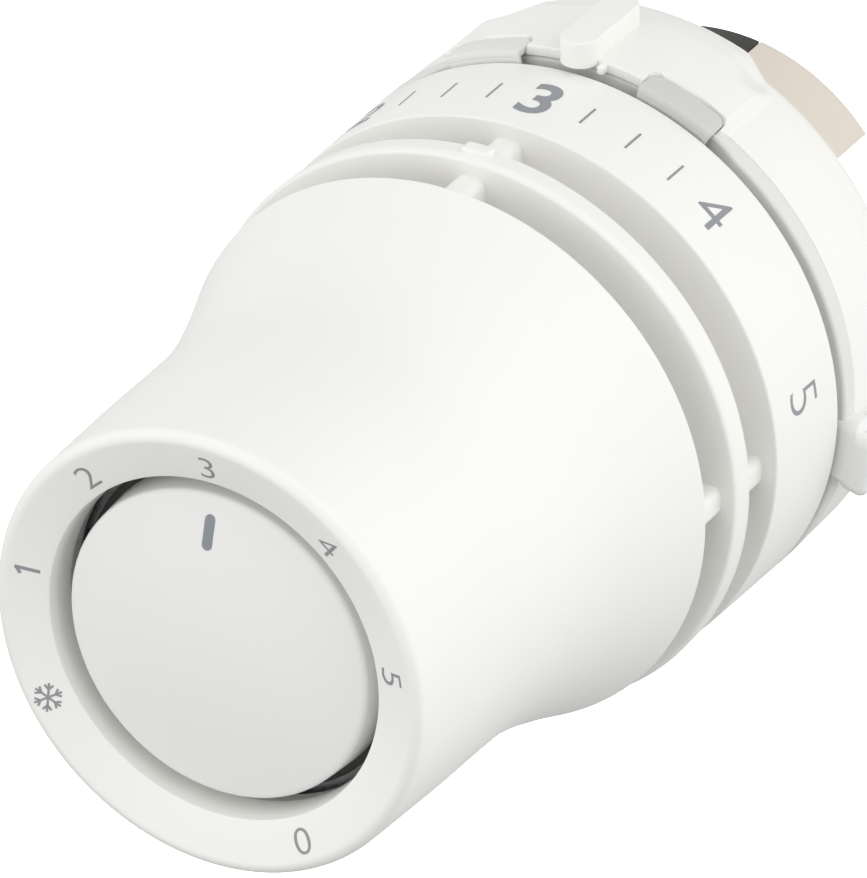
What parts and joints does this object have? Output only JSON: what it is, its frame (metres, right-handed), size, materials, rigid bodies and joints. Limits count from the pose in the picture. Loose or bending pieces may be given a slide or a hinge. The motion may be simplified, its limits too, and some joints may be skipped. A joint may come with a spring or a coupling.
{
  "type": "thermostatic radiator valve head",
  "caption": "Thermostatic head for a radiator valve: turning handle with dial, gas sensor that drives a pressure pin, and a click-on neck coupling.",
  "frame": {"origin": "centre of the flat end of the pressure pin, on the turning axis, at setting 3", "axes": "+Y along the turning axis towards the radiator valve, dial faces -Y, +Z through the index mark"},
  "size_m": [0.056, 0.0848, 0.0529],
  "materials": {
    "white_plastic": "fine satin moulded white",
    "light_grey_plastic": "satin light grey",
    "dark_grey_nylon": "glass-filled dark grey, slightly grained",
    "beige_plastic": "satin beige",
    "natural_acetal": "natural off-white, waxy",
    "bright_steel": "turned steel",
    "spring_steel": "oiled spring wire",
    "brass": "drawn brass",
    "tinned_can": "drawn tinned metal",
    "copper": "crimped copper tube"
  },
  "bodies": {
    "body": {"core_frame": "dark_grey_nylon", "end_cap": "white_plastic", "handle_retainer": "spring_steel", "inner_sleeve": "white_plastic", "neck_sleeve": "dark_grey_nylon", "base_cover": "white_plastic", "cover_screw_1": "bright_steel", "cover_screw_2": "bright_steel", "cover_screw_3": "bright_steel"},
    "handle": {"handle": "white_plastic"},
    "sensor": {"sensor_carrier": "natural_acetal", "sensor_capsule": "tinned_can", "fill_tube": "copper", "capsule_base": "tinned_can", "bellows": "brass", "guide_bush": "natural_acetal", "setting_spring": "spring_steel"},
    "pin": {"spindle": "bright_steel", "overtravel_cup": "brass", "overtravel_spring": "spring_steel", "pressure_pin": "bright_steel", "cup_circlip": "spring_steel"},
    "lock": {"lock_ring": "light_grey_plastic", "clamp_collar": "beige_plastic"},
    "jaw_1": {"latch_jaw_1": "bright_steel"},
    "jaw_2": {"latch_jaw_2": "bright_steel"},
    "jaw_3": {"latch_jaw_3": "bright_steel"},
    "clip_low": {"limiter_clip_low": "light_grey_plastic"},
    "clip_high": {"limiter_clip_high": "light_grey_plastic"}
  },
  "joints": [
    {"name": "handle_turn", "type": "hinge", "parent": "body", "child": "handle", "pos_m": [0, 0, 0], "axis": [0, 1, 0], "range_deg": [-80, 210]},
    {"name": "sensor_travel", "type": "slide", "parent": "body", "child": "sensor", "axis": [0, 1, 0], "range_m": [-0.0009, 0.00235]},
    {"name": "pin_travel", "type": "slide", "parent": "sensor", "child": "pin", "axis": [0, 1, 0], "range_m": [-0.0005, 0.0015]},
    {"name": "lock_turn", "type": "hinge", "parent": "body", "child": "lock", "pos_m": [0, 0, 0], "axis": [0, 1, 0], "range_deg": [0, 25]},
    {"name": "jaw_1_slide", "type": "slide", "parent": "body", "child": "jaw_1", "axis": [-0.1822, 0, 0.9833], "range_m": [0, 0.0011]},
    {"name": "jaw_2_slide", "type": "slide", "parent": "body", "child": "jaw_2", "axis": [0.9426, 0, -0.3338], "range_m": [0, 0.0011]},
    {"name": "jaw_3_slide", "type": "slide", "parent": "body", "child": "jaw_3", "axis": [-0.7604, 0, -0.6494], "range_m": [0, 0.0011]},
    {"name": "clip_low_pull", "type": "slide", "parent": "body", "child": "clip_low", "axis": [-0.3355, 0, 0.9421], "range_m": [0, 0.004]},
    {"name": "clip_high_pull", "type": "slide", "parent": "body", "child": "clip_high", "axis": [0.3584, 0, 0.9336], "range_m": [0, 0.004]}
  ],
  "couplings": [
    {"joint": "sensor_travel", "follows": "handle_turn", "m_per_rad": 0.00063662},
    {"joint": "jaw_1_slide", "follows": "lock_turn", "m_per_rad": 0.0025},
    {"joint": "jaw_2_slide", "follows": "lock_turn", "m_per_rad": 0.0025},
    {"joint": "jaw_3_slide", "follows": "lock_turn", "m_per_rad": 0.0025}
  ]
}
